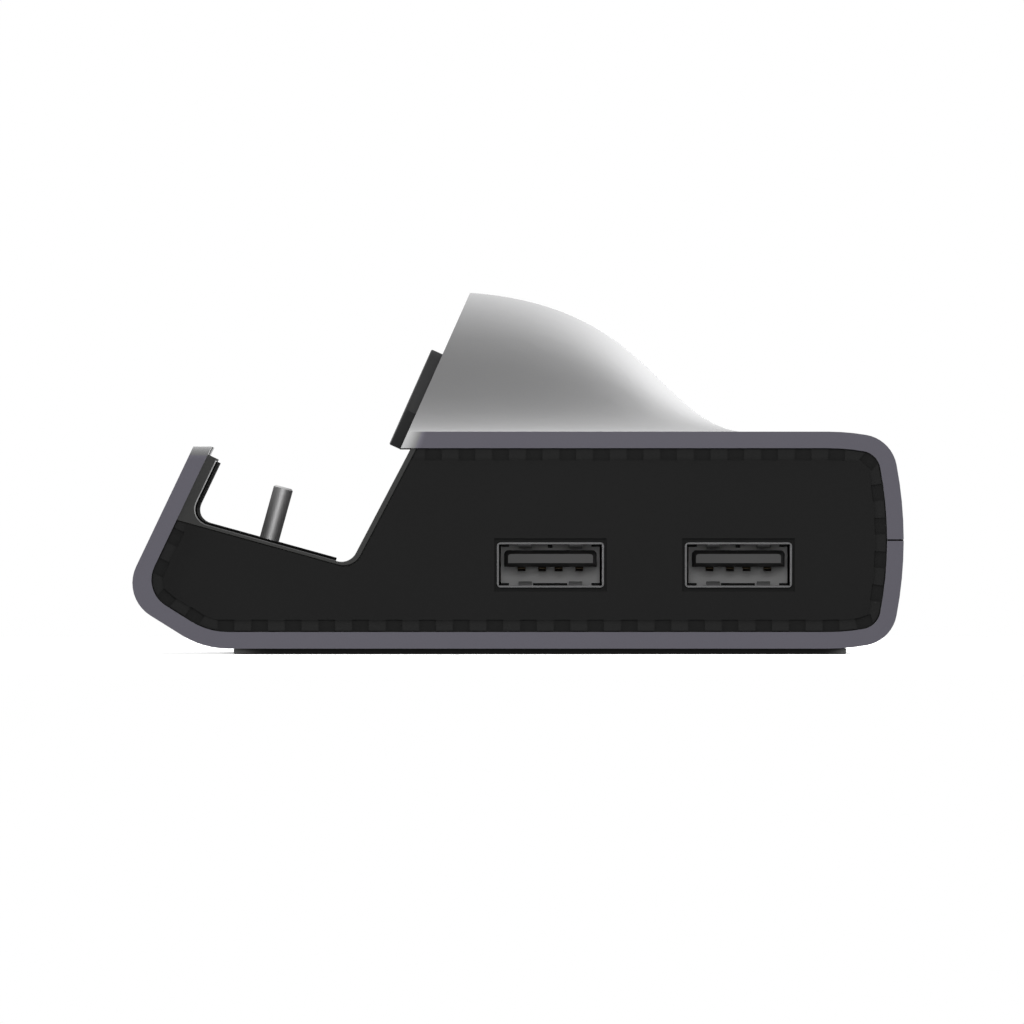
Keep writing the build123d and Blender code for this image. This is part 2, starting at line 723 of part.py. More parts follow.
with BuildPart() as usb_a_front_contacts:
    with BuildSketch(Plane.YZ.offset(panel_face_x - usb_deep + tongue_root)):
        for contact_y in usb_contact_y:
            with Locations((usb_y + contact_y, tongue_z - tongue_thick / 2)):
                Rectangle(contact_wide, contact_thick, align=(Align.CENTER, Align.MAX))
    extrude(amount=usb_deep - tongue_root - tongue_setback - tongue_bevel - contact_thick)

# Second USB-A socket, the same piece further back
with BuildPart() as usb_a_rear_shell:
    with Locations((0, usb_pitch, 0)):
        add(usb_a_front_shell.part)
with BuildPart() as usb_a_rear_tongue:
    with Locations((0, usb_pitch, 0)):
        add(usb_a_front_tongue.part)
with BuildPart() as usb_a_rear_contacts:
    with Locations((0, usb_pitch, 0)):
        add(usb_a_front_contacts.part)

# Power inlet
with BuildPart() as power_shell:
    with BuildSketch(Plane.YZ.offset(-panel_face_x)):
        with Locations((power_y, power_z)):
            SlotOverall(power_wide, power_high)
            SlotOverall(power_wide - 2 * power_sheet, power_high - 2 * power_sheet, mode=Mode.SUBTRACT)
    extrude(amount=power_deep)
with BuildPart() as power_tongue:
    with BuildSketch(Plane.YZ.offset(-panel_face_x + power_deep)):
        with Locations((power_y, power_z)):
            Rectangle(power_wide - power_high, power_high - 2 * power_sheet)
    extrude(amount=-2 * tongue_setback)
    with BuildSketch(Plane.YZ.offset(-panel_face_x + power_deep)):
        with Locations((power_y, power_z)):
            Rectangle(power_wide - power_high + 2 * tongue_step, 2 * contact_thick)
    extrude(amount=tongue_setback - power_deep)

# Video socket
hdmi_flat = hdmi_wide / 2
hdmi_foot = hdmi_wide / 2 - hdmi_shoulder
with BuildPart() as hdmi_shell:
    with BuildSketch(Plane.YZ.offset(-panel_face_x)):
        with BuildLine():
            Polyline((hdmi_y - hdmi_flat, board_top + hdmi_high),
                     (hdmi_y + hdmi_flat, board_top + hdmi_high),
                     (hdmi_y + hdmi_flat, board_top + hdmi_shoulder),
                     (hdmi_y + hdmi_foot, board_top),
                     (hdmi_y - hdmi_foot, board_top),
                     (hdmi_y - hdmi_flat, board_top + hdmi_shoulder), close=True)
        make_face()
        offset(amount=-hdmi_sheet, kind=Kind.INTERSECTION, mode=Mode.SUBTRACT)
    extrude(amount=hdmi_deep)
with BuildPart() as hdmi_tongue:
    with BuildSketch(Plane.YZ.offset(-panel_face_x + hdmi_deep)):
        with Locations((hdmi_y, hdmi_z)):
            Rectangle(2 * (hdmi_foot - hdmi_sheet), hdmi_high - 2 * hdmi_sheet)
    extrude(amount=-2 * tongue_setback)
    with BuildSketch(Plane.YZ.offset(-panel_face_x + hdmi_deep)):
        with Locations((hdmi_y, hdmi_z + hdmi_sheet)):
            Rectangle(2 * (hdmi_foot + tongue_step), tongue_thick / 2)
    extrude(amount=tongue_setback - hdmi_deep)

# Network socket: plastic body, contact wires and folded shield
with BuildPart() as lan_housing:
    with Locations((-panel_face_x, lan_y, lan_z)):
        Box(lan_deep, lan_wide - 2 * lan_sheet, lan_high - 2 * lan_sheet,
            align=(Align.MIN, Align.CENTER, Align.CENTER))
        with Locations((0, 0, -lan_sink)):
            Box(lan_mouth_deep, lan_mouth_wide, lan_mouth_high,
                align=(Align.MIN, Align.CENTER, Align.CENTER), mode=Mode.SUBTRACT)
        with Locations((0, 0, -lan_mouth_high / 2)):
            Box(lan_mouth_deep, lan_mouth_wide / 2, lan_latch,
                align=(Align.MIN, Align.CENTER, Align.CENTER), mode=Mode.SUBTRACT)
with BuildPart() as lan_contacts:
    with Locations((-panel_face_x + lan_mouth_deep, lan_y, lan_z - lan_sink + lan_mouth_high / 2)):
        with GridLocations(0, lan_contact_pitch, 1, lan_contact_count):
            Box(lan_mouth_deep / 2, lan_contact_wide, lan_contact_drop,
                align=(Align.MAX, Align.CENTER, Align.MAX))
with BuildPart() as lan_shield:
    with BuildSketch(Plane.YZ.offset(-panel_face_x)):
        with Locations((lan_y, lan_z)):
            Rectangle(lan_wide, lan_high)
            Rectangle(lan_wide - 2 * lan_sheet, lan_high - 2 * lan_sheet, mode=Mode.SUBTRACT)
    extrude(amount=lan_deep)

# Chips and small electrical parts on the main board
board_plane = Plane((0, board_mid_y, board_top))
with BuildPart() as hub_chip:
    with BuildSketch(board_plane):
        with Locations(hub_spot):
            Rectangle(hub_side, hub_side)
    extrude(amount=chip_high)
with BuildPart() as video_chip:
    with BuildSketch(board_plane):
        with Locations(video_spot):
            Rectangle(video_side, video_side)
    extrude(amount=chip_high)
with BuildPart() as lan_chip:
    with BuildSketch(board_plane):
        with Locations(lan_chip_spot):
            Rectangle(lan_chip_side, lan_chip_side)
    extrude(amount=chip_high)
with BuildPart() as power_chip:
    with BuildSketch(board_plane):
        with Locations(power_chip_spot):
            Rectangle(power_chip_side, power_chip_side)
    extrude(amount=chip_high)
with BuildPart() as lan_transformer:
    with BuildSketch(board_plane):
        with Locations(transformer_spot):
            Rectangle(transformer_x, transformer_y)
    extrude(amount=transformer_high)
with BuildPart() as capacitors:
    with BuildSketch(board_plane):
        with Locations(*capacitor_spots):
            Rectangle(capacitor_x, capacitor_y)
    extrude(amount=capacitor_high)
with BuildPart() as inductors:
    with BuildSketch(board_plane):
        with Locations(*inductor_spots):
            Rectangle(inductor_side, inductor_side)
    extrude(amount=inductor_high)
with BuildPart() as small_parts:
    with BuildSketch(board_plane):
        with Locations(*small_spots):
            with GridLocations(small_pitch, small_pitch, 2, 2):
                Rectangle(small_x, small_y)
    extrude(amount=small_high)
with BuildPart() as thermal_pad:
    with BuildSketch(board_plane.offset(floor_top - board_top)):
        with Locations(hub_spot):
            Rectangle(thermal_side, thermal_side)
    extrude(amount=board_low - floor_top)

# Flat cable between the two boards, with a socket at each end
socket_low = plug_board_low - socket_high
with BuildPart() as ribbon_socket_plug:
    with BuildSketch(plug_plane.offset(plug_board_low)):
        with Locations((0, carrier_y / 2)):
            Rectangle(ribbon_wide + 2 * socket_margin, socket_deep, align=(Align.CENTER, Align.MAX))
    extrude(amount=-socket_high)
with BuildPart() as ribbon_socket_main:
    with Locations((0, board_front_y, board_low)):
        Box(ribbon_wide + 2 * socket_margin, socket_deep, socket_high,
            align=(Align.CENTER, Align.MIN, Align.MAX))
with BuildPart() as ribbon:
    with BuildSketch(Plane.YZ.offset(-ribbon_wide / 2)):
        socket_mid = Vector(plug_y, plug_z) + tray_up * (socket_low + socket_high / 2)
        low_end = socket_mid + tray_back * carrier_y / 2
        far_end = Vector(board_front_y, board_low - socket_high / 2)
        with BuildLine():
            FilletPolyline(low_end, low_end + tray_back * ribbon_lead, far_end - Vector(ribbon_lead, 0),
                           far_end, radius=ribbon_bend_r)
            offset(amount=ribbon_thick, side=Side.LEFT)
        make_face()
    extrude(amount=ribbon_wide)

pieces = {
    "lower_shell": lower_shell,
    "upper_shell": upper_shell,
    "cradle": cradle,
    "cradle_liner": cradle_liner,
    "end_panel_right": end_panel_right,
    "end_panel_left": end_panel_left,
    "backrest_pad": backrest_pad,
    "foot_pad": foot_pad,
    "plug_shell": plug_shell,
    "plug_core": plug_core,
    "plug_contacts": plug_contacts,
    "plug_carrier": plug_carrier,
    "plug_board": plug_board,
    "plug_screws": plug_screws,
    "main_board": main_board,
    "standoffs": standoffs,
    "case_screws": case_screws,
    "cradle_screws": cradle_screws,
    "usb_a_front_shell": usb_a_front_shell,
    "usb_a_front_tongue": usb_a_front_tongue,
    "usb_a_front_contacts": usb_a_front_contacts,
    "usb_a_rear_shell": usb_a_rear_shell,
    "usb_a_rear_tongue": usb_a_rear_tongue,
    "usb_a_rear_contacts": usb_a_rear_contacts,
    "power_shell": power_shell,
    "power_tongue": power_tongue,
    "hdmi_shell": hdmi_shell,
    "hdmi_tongue": hdmi_tongue,
    "lan_housing": lan_housing,
    "lan_contacts": lan_contacts,
    "lan_shield": lan_shield,
    "hub_chip": hub_chip,
    "video_chip": video_chip,
    "lan_chip": lan_chip,
    "power_chip": power_chip,
    "lan_transformer": lan_transformer,
    "capacitors": capacitors,
    "inductors": inductors,
    "small_parts": small_parts,
    "thermal_pad": thermal_pad,
    "ribbon_socket_plug": ribbon_socket_plug,
    "ribbon_socket_main": ribbon_socket_main,
    "ribbon": ribbon,
}
for label, piece in pieces.items():
    piece.part.label = label
    export_step(piece.part, f"parts/{label}.step")
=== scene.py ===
import json
import math
import bmesh
import bpy
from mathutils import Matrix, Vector


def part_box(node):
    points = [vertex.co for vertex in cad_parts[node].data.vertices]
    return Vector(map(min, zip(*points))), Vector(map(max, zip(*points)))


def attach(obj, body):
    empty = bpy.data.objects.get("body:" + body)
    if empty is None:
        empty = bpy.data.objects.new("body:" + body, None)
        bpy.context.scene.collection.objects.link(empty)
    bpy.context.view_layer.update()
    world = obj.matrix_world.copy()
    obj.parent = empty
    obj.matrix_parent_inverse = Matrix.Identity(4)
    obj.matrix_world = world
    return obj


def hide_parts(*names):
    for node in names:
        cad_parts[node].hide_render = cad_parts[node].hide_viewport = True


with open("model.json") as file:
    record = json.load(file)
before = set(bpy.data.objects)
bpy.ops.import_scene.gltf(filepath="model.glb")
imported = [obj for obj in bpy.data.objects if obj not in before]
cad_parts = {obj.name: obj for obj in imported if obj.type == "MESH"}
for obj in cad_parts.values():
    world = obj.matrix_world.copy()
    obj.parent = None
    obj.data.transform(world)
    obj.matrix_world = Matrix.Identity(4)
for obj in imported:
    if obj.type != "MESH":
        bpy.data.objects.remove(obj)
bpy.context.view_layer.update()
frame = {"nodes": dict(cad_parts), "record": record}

nodes = frame["nodes"]
tightReach = 1e-6  # points this close are one
looseReach = 1e-5  # places this close count as the same
facingFrom = 0.9  # a face looks along an axis from this share of its normal
print("frame loaded:", len(nodes), "nodes")


def deselectAll():
    bpy.ops.object.select_all(action="DESELECT")


def pick(piece, kind, test):  # selects verts, edges or faces of the piece in edit mode
    bpy.ops.mesh.select_mode(type={"verts": "VERT", "edges": "EDGE", "faces": "FACE"}[kind])
    bpy.ops.mesh.select_all(action="DESELECT")
    mesh = bmesh.from_edit_mesh(piece.data)
    for part in getattr(mesh, kind):
        part.select_set(test(part))
    mesh.select_flush_mode()
    bmesh.update_edit_mesh(piece.data)


def middle(edge):
    return (edge.verts[0].co + edge.verts[1].co) / 2


def near(a, b, reach=tightReach):
    return abs(a - b) < reach


def applyAll(piece):  # place, turn and scale go into the mesh, then the modifiers
    deselectAll()
    piece.select_set(True)
    bpy.context.view_layer.objects.active = piece
    bpy.ops.object.transform_apply(location=True, rotation=True, scale=True)
    for modifier in list(piece.modifiers):
        bpy.ops.object.modifier_apply(modifier=modifier.name)


def addRim(piece, wide, limit=60):  # narrow rounded edges, as a modifier
    rim = piece.modifiers.new("rim", "BEVEL")
    rim.width = wide
    rim.segments = 2
    rim.limit_method = "ANGLE"
    rim.angle_limit = math.radians(limit)


def cutAway(piece, cutter):  # takes the cutter's shape out of the piece and removes the cutter
    cut = piece.modifiers.new("cut", "BOOLEAN")
    cut.object = cutter
    cut.operation = "DIFFERENCE"
    cut.solver = "EXACT"
    applyAll(piece)
    bpy.data.objects.remove(cutter)


def alongZ(edge):
    first, second = edge.verts[0].co, edge.verts[1].co
    return near(first.x, second.x) and near(first.y, second.y)


def finishPiece(piece, name, angle=35):  # smooth up to the angle, in degrees
    piece.name = name
    piece.data.name = name
    deselectAll()
    piece.select_set(True)
    bpy.context.view_layer.objects.active = piece
    bpy.ops.object.mode_set(mode="EDIT")
    bpy.ops.mesh.select_all(action="SELECT")
    bpy.ops.mesh.remove_doubles(threshold=tightReach)
    bpy.ops.mesh.normals_make_consistent(inside=False)
    bpy.ops.object.mode_set(mode="OBJECT")
    bpy.ops.object.shade_smooth_by_angle(angle=math.radians(angle))
    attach(piece, "root")
    return piece


# silicone foot under the floor
footSet = {"cornerRadius": 0.005, "cornerSteps": 10, "rim": 0.0024, "rimDepth": 0.00012, "edge": 0.00014,
           "soleArea": 0.001}


def makeFoot():
    low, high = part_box("foot_pad")
    deselectAll()
    bpy.ops.mesh.primitive_cube_add(size=1, location=(low + high) / 2)
    foot = bpy.context.object
    foot.scale = high - low
    applyAll(foot)
    bpy.ops.object.mode_set(mode="EDIT")
    pick(foot, "edges", alongZ)
    bpy.ops.mesh.bevel(offset=footSet["cornerRadius"], segments=footSet["cornerSteps"], affect="EDGES")
    pick(foot, "faces", lambda f: f.normal.z < -facingFrom)
    bpy.ops.mesh.inset(thickness=footSet["edge"])
    pick(foot, "verts", lambda v: near(v.co.z, low.z)
         and any(abs(f.normal.z) < 1 - facingFrom for f in v.link_faces))
    bpy.ops.transform.translate(value=(0, 0, footSet["edge"]))
    pick(foot, "faces", lambda f: f.normal.z < -facingFrom and f.calc_area() > footSet["soleArea"])
    bpy.ops.mesh.inset(thickness=footSet["rim"])
    bpy.ops.transform.translate(value=(0, 0, footSet["rimDepth"]))
    bpy.ops.object.mode_set(mode="OBJECT")
    finishPiece(foot, "footSole")
    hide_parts("foot_pad")
    return foot


# silicone pad on the front of the hump
backPadSet = {"straight": 0.0046, "topHalf": 0.024, "cornerRadius": 0.0012, "cornerSteps": 6, "edge": 0.00018,
              "edgeSteps": 3, "edgeFrom": 0.5, "lean": 24.1, "thick": 0.00148, "length": 0.0126}


def makeBackPad():
    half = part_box("backrest_pad")[1].x
    top = max((v.co for v in nodes["backrest_pad"].data.vertices), key=lambda c: c.y)
    straight = backPadSet["straight"]
    deselectAll()
    bpy.ops.mesh.primitive_plane_add(size=1, location=(0, straight / 2, 0))
    pad = bpy.context.object
    pad.scale = (2 * half, straight, 1)
    applyAll(pad)
    bpy.ops.object.mode_set(mode="EDIT")
    pick(pad, "edges", lambda e: near(middle(e).y, straight))
    bpy.ops.mesh.extrude_region_move(TRANSFORM_OT_translate={"value": (0, backPadSet["length"] - straight, 0)})
    bpy.ops.transform.resize(value=(backPadSet["topHalf"] / half, 1, 1))
    pick(pad, "verts", lambda v: near(v.co.y, backPadSet["length"]))
    bpy.ops.mesh.bevel(offset=backPadSet["cornerRadius"], segments=backPadSet["cornerSteps"], affect="VERTICES")
    bpy.ops.mesh.select_all(action="SELECT")
    bpy.ops.mesh.extrude_region_move(TRANSFORM_OT_translate={"value": (0, 0, backPadSet["thick"])})
    pick(pad, "edges", lambda e: near(middle(e).z, backPadSet["thick"]) and len(e.link_faces) == 2
         and e.calc_face_angle(0) > backPadSet["edgeFrom"])
    bpy.ops.mesh.bevel(offset=backPadSet["edge"], segments=backPadSet["edgeSteps"], affect="EDGES")
    pick(pad, "edges", lambda e: near(e.verts[0].co.y, straight) and near(e.verts[1].co.y, straight))
    bpy.ops.mesh.mark_sharp()  # the flank turns inwards here
    bpy.ops.object.mode_set(mode="OBJECT")
    lean = math.radians(backPadSet["lean"])
    pad.rotation_euler = (math.pi / 2 - lean, 0, 0)
    slope = Vector((0, math.sin(lean), math.cos(lean)))
    pad.location = Vector((0, top.y, top.z)) - slope * backPadSet["length"]
    applyAll(pad)
    finishPiece(pad, "backrestRubber")
    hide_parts("backrest_pad")
    return pad


# pale sheet with a painted highlight, and silicone mat, bent over lip and tray
linerSet = {"film": 0.00016, "thick": 0.0004, "tilt": 15.45, "lipLean": 25.5, "bend": 0.00215, "bendSteps": 10,
            "edge": 0.00012, "slotWide": 0.00925, "slotThick": 0.0034, "slotDeep": 0.012, "slotSteps": 8}


def makeLiner(name, lift, thick):  # a sheet over lip and tray, lifted off the cradle
    tilt = math.radians(linerSet["tilt"])
    lean = math.radians(linerSet["lipLean"])
    points = [v.co for v in nodes["cradle_liner"].data.vertices]
    low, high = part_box("cradle_liner")
    lipTop = max(points, key=lambda c: c.z)
    rear = max(points, key=lambda c: c.y)
    trayUp = Vector((0, math.sin(tilt), math.cos(tilt)))
    forward = Vector((0, -math.cos(tilt), math.sin(tilt)))
    lipUp = Vector((0, math.sin(lean), math.cos(lean)))
    tail = Vector((0, rear.y, rear.z)) - trayUp * (linerSet["thick"] - lift)
    gap = Vector((0, lipTop.y, lipTop.z)) + Vector((0, lipUp.z, -lipUp.y)) * lift - tail
    run = (gap.y * lipUp.z - gap.z * lipUp.y) / (forward.y * lipUp.z - forward.z * lipUp.y)
    rise = (gap - forward * run).length
    turn = math.acos(forward.dot(lipUp))
    deselectAll()
    bpy.ops.mesh.primitive_plane_add(size=1, location=(0, -run / 2, 0))
    liner = bpy.context.object
    liner.scale = (high.x - low.x, run, 1)
    applyAll(liner)
    liner.rotation_euler = (-tilt, 0, 0)
    liner.location = tail
    applyAll(liner)
    corner = tail + forward * run
    bpy.ops.object.mode_set(mode="EDIT")
    pick(liner, "edges", lambda e: near(middle(e).y, corner.y, looseReach))
    bpy.ops.mesh.extrude_region_move(TRANSFORM_OT_translate={"value": lipUp * rise})
    fold = Vector((0, corner.y, corner.z))
    pick(liner, "edges", lambda e: all(near(a, b, looseReach) for a, b in zip(middle(e), fold)))
    bend = linerSet["bend"] - lift
    bpy.ops.mesh.bevel(offset=bend * math.tan(turn / 2), segments=linerSet["bendSteps"], affect="EDGES")
    bpy.ops.mesh.select_all(action="SELECT")
    bpy.ops.mesh.normals_make_consistent(inside=False)
    bpy.ops.object.mode_set(mode="OBJECT")
    up = sum(p.normal.z for p in liner.data.polygons) > 0  # the sheet thickens towards the console
    sheet = liner.modifiers.new("thickness", "SOLIDIFY")
    sheet.thickness = thick
    sheet.offset = 1 if up else -1
    addRim(liner, min(linerSet["edge"], thick / 4))
    applyAll(liner)
    plugLow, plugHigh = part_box("plug_shell")
    deselectAll()
    bpy.ops.mesh.primitive_cube_add(size=1)
    cutter = bpy.context.object
    cutter.scale = (linerSet["slotWide"], linerSet["slotThick"], linerSet["slotDeep"])
    applyAll(cutter)
    bpy.ops.object.mode_set(mode="EDIT")
    pick(cutter, "edges", alongZ)
    bpy.ops.mesh.bevel(offset=linerSet["slotThick"] / 2 - looseReach, segments=linerSet["slotSteps"], affect="EDGES")
    bpy.ops.object.mode_set(mode="OBJECT")
    cutter.rotation_euler = (-tilt, 0, 0)
    cutter.location = (plugLow + plugHigh) / 2
    applyAll(cutter)
    cutAway(liner, cutter)  # hole for the plug
    finishPiece(liner, name)
    return liner


# dark strip in the seam between the two shells
seamSet = {"wall": 0.002, "high": 0.00018, "deep": 0.00014, "setIn": 0.00003, "tabWide": 0.0005, "tabDeep": 0.0018,
           "endGap": 0.00006, "edge": 0.00003}


def makeSeamStrip():
    low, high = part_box("lower_shell")
    seam = (low.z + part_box("end_panel_right")[1].z + seamSet["wall"]) / 2
    face = high.y - seamSet["setIn"]
    half = high.x - seamSet["endGap"]
    deselectAll()
    bpy.ops.mesh.primitive_cube_add(size=1, location=(0, face - seamSet["deep"] / 2, seam))
    strip = bpy.context.object
    strip.scale = (2 * half, seamSet["deep"], seamSet["high"])
    applyAll(strip)
    bpy.ops.object.mode_set(mode="EDIT")
    for side in (-1, 1):  # short tabs close the seam at both ends
        bpy.ops.mesh.select_all(action="SELECT")
        bpy.ops.mesh.bisect(plane_co=(side * (half - seamSet["tabWide"]), 0, 0), plane_no=(1, 0, 0))
    pick(strip, "faces", lambda f: f.normal.y < -facingFrom
         and abs(f.calc_center_median().x) > half - seamSet["tabWide"])
    bpy.ops.mesh.extrude_region_move(TRANSFORM_OT_translate={"value": (0, -seamSet["tabDeep"], 0)})
    bpy.ops.object.mode_set(mode="OBJECT")
    addRim(strip, seamSet["edge"])
    applyAll(strip)
    finishPiece(strip, "seamStrip")
    return strip


# sprung contacts under the tongue of a large socket
leafSet = {"wide": 0.00095, "thick": 0.00022, "edge": 0.00004, "bend": 0.00025, "bendSteps": 3, "smooth": 50,
           "spots": (-0.0035, -0.001, 0.001, 0.0035),
           "path": ((0.0503, 0.0), (0.0536, 0.0), (0.0547, -0.00016), (0.0556, -0.00033), (0.0564, -0.00033),
                    (0.0571, -0.00018), (0.0576, -0.00002))}


def makeLeaves(node, name):
    low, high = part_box(node)
    path = leafSet["path"]
    top = high.z - leafSet["thick"] / 2
    deselectAll()
    bpy.ops.mesh.primitive_plane_add(size=1, location=((path[0][0] + path[1][0]) / 2, (low.y + high.y) / 2, top))
    leaf = bpy.context.object
    leaf.scale = (path[1][0] - path[0][0], leafSet["wide"], 1)
    applyAll(leaf)
    bpy.ops.object.mode_set(mode="EDIT")
    pick(leaf, "edges", lambda e: near(middle(e).x, path[1][0]))
    for before, after in zip(path[1:], path[2:]):
        step = (after[0] - before[0], 0, after[1] - before[1])
        bpy.ops.mesh.extrude_region_move(TRANSFORM_OT_translate={"value": step})
    pick(leaf, "edges", lambda e: len(e.link_faces) == 2)
    bpy.ops.mesh.bevel(offset=leafSet["bend"], segments=leafSet["bendSteps"], affect="EDGES")
    bpy.ops.object.mode_set(mode="OBJECT")
    sheet = leaf.modifiers.new("thickness", "SOLIDIFY")
    sheet.thickness = leafSet["thick"]
    sheet.offset = 0
    addRim(leaf, leafSet["edge"])
    applyAll(leaf)
    copies = [leaf]
    for spot in leafSet["spots"][1:]:
        deselectAll()
        leaf.select_set(True)
        bpy.context.view_layer.objects.active = leaf
        bpy.ops.object.duplicate()
        bpy.context.object.location.y = spot
        copies.append(bpy.context.object)
    leaf.location.y = leafSet["spots"][0]
    for copy in copies:
        applyAll(copy)
    deselectAll()
    for copy in copies:
        copy.select_set(True)
    bpy.context.view_layer.objects.active = leaf
    bpy.ops.object.join()
    finishPiece(leaf, name, leafSet["smooth"])
    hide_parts(node)
    return leaf


# moulded core of a large socket: back wall with slits, tongue with a tapered tip
coreSet = {"root": 0.005, "slitFloor": 0.0006, "slitShade": 0.0005, "border": 0.0004, "tongueHigh": 0.002,
           "tongueRise": 0.00078, "taper": 0.00045, "round": 0.0005, "roundSteps": 4, "smooth": 25,
           "slits": ((0, 0.0024, 0.00055, 0.00066), (0, -0.00245, 0.00415, 0.00048),  # across, up, wide, high
                     (-0.00555, 0.00245, 0.0011, 0.0005), (0.00555, 0.00245, 0.0011, 0.0005),
                     (-0.00555, -0.00245, 0.0011, 0.0005), (0.00555, -0.00245, 0.0011, 0.0005))}


def makeCore(node, name):
    low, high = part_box(node)
    centre = (low + high) / 2
    root, taper, tall = coreSet["root"], coreSet["taper"], coreSet["tongueHigh"]
    wide = high.y - low.y - 2 * coreSet["border"]
    tongueZ = centre.z + coreSet["tongueRise"]
    deselectAll()
    bpy.ops.mesh.primitive_cube_add(size=1, location=(low.x + root / 2, centre.y, centre.z))
    core = bpy.context.object
    core.scale = (root, high.y - low.y, high.z - low.z)
    applyAll(core)
    bpy.ops.object.mode_set(mode="EDIT")
    pick(core, "faces", lambda f: f.normal.x > facingFrom)
    bpy.ops.mesh.inset(thickness=coreSet["border"])
    bpy.ops.transform.resize(value=(1, 1, tall / (high.z - low.z - 2 * coreSet["border"])))
    bpy.ops.transform.translate(value=(0, 0, coreSet["tongueRise"]))
    bpy.ops.mesh.extrude_region_move(TRANSFORM_OT_translate={"value": (high.x - taper - low.x - root, 0, 0)})
    pick(core, "edges", lambda e: near(middle(e).z, tongueZ + tall / 2) and near(e.verts[0].co.y, e.verts[1].co.y))
    bpy.ops.mesh.bevel(offset=coreSet["round"], segments=coreSet["roundSteps"], affect="EDGES")
    pick(core, "faces", lambda f: f.normal.x > facingFrom
         and near(f.calc_center_median().x, high.x - taper, looseReach))
    bpy.ops.mesh.extrude_region_move(TRANSFORM_OT_translate={"value": (taper, 0, 0)})
    bpy.ops.transform.resize(value=(1, 1 - 2 * taper / wide, 1 - 2 * taper / tall),
                             center_override=(high.x, centre.y, tongueZ))
    bpy.ops.object.mode_set(mode="OBJECT")
    cutters = []
    for across, up, slitWide, slitHigh in coreSet["slits"]:
        deselectAll()
        bpy.ops.mesh.primitive_cube_add(size=1, location=(low.x + root, centre.y + across, centre.z + up))
        cutters.append(bpy.context.object)
        cutters[-1].scale = (2 * (root - coreSet["slitFloor"]), slitWide, slitHigh)
        applyAll(cutters[-1])
    deselectAll()
    for cutter in cutters:
        cutter.select_set(True)
    bpy.ops.object.join()
    cutAway(core, bpy.context.object)
    finishPiece(core, name, coreSet["smooth"])
    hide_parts(node)
    return core


footSole = makeFoot()
backrestRubber = makeBackPad()
cradleHighlightFilm = makeLiner("cradleHighlightFilm", 0, linerSet["film"])  # pale sheet under the mat, a painted highlight along its edge
cradleMat = makeLiner("cradleMat", linerSet["film"], linerSet["thick"] - linerSet["film"])
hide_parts("cradle_liner")
seamStrip = makeSeamStrip()
frontLeaves = makeLeaves("usb_a_front_contacts", "frontSocketLeaves")
rearLeaves = makeLeaves("usb_a_rear_contacts", "rearSocketLeaves")
frontCore = makeCore("usb_a_front_tongue", "frontSocketCore")
rearCore = makeCore("usb_a_rear_tongue", "rearSocketCore")
madePieces = {footSole: "footBlack", backrestRubber: "padGrey", cradleHighlightFilm: "filmPaintedHighlight", cradleMat: "linerBlack",
              seamStrip: "linerBlack", frontLeaves: "contactPaintedShade", rearLeaves: "contactPaintedShade",
              frontCore: "insulatorBlack", rearCore: "insulatorBlack"}  # with their finishes
for piece in madePieces:
    print("made", piece.name, "with", len(piece.data.polygons), "faces")

# broken edges on the folded socket shells
edgeSet = {"usb_a_front_shell": 0.00007, "usb_a_rear_shell": 0.00007, "power_shell": 0.00006,
           "hdmi_shell": 0.00007, "lan_shield": 0.00007}
edgeFrom = 35  # degrees between two faces
for name, wide in edgeSet.items():
    weld = nodes[name].modifiers.new("weld", "WELD")
    weld.merge_threshold = tightReach
    addRim(nodes[name], wide, edgeFrom)
print("edges broken on", len(edgeSet), "parts")


# shared effects
def newGroup(name, inputs, outputs):
    group = bpy.data.node_groups.new(name, "ShaderNodeTree")
    for label, value in inputs.items():
        socket = group.interface.new_socket(label, in_out="INPUT", socket_type="NodeSocketFloat")
        socket.default_value = value
    for label, kind in outputs.items():
        group.interface.new_socket(label, in_out="OUTPUT", socket_type=kind)
    return group, group.nodes.new("NodeGroupInput"), group.nodes.new("NodeGroupOutput")


def mathNode(tree, operation, a, b):
    node = tree.nodes.new("ShaderNodeMath")
    node.operation = operation
    for socket, value in zip(node.inputs, (a, b)):
        if isinstance(value, (int, float)):
            socket.default_value = value
        else:
            tree.links.new(value, socket)
    return node.outputs[0]


def makeGrainGroup():  # fine even grain with slow drift, for blasted metal and moulded skins
    group, take, give = newGroup("fineGrain", {"Grain Scale": 9000, "Drift Scale": 60, "Drift": 0.2},
                                 {"Height": "NodeSocketFloat", "Tone": "NodeSocketFloat"})
    place = group.nodes.new("ShaderNodeTexCoord")
    grain = group.nodes.new("ShaderNodeTexNoise")
    grain.inputs["Detail"].default_value = 3
    drift = group.nodes.new("ShaderNodeTexNoise")
    drift.inputs["Detail"].default_value = 4
    for noise, label in ((grain, "Grain Scale"), (drift, "Drift Scale")):
        group.links.new(place.outputs["Object"], noise.inputs["Vector"])
        group.links.new(take.outputs[label], noise.inputs["Scale"])
    centred = mathNode(group, "SUBTRACT", drift.outputs["Fac"], 0.5)
    tone = mathNode(group, "MULTIPLY", centred, take.outputs["Drift"])
    group.links.new(grain.outputs["Fac"], give.inputs["Height"])
    group.links.new(tone, give.inputs["Tone"])
    return group


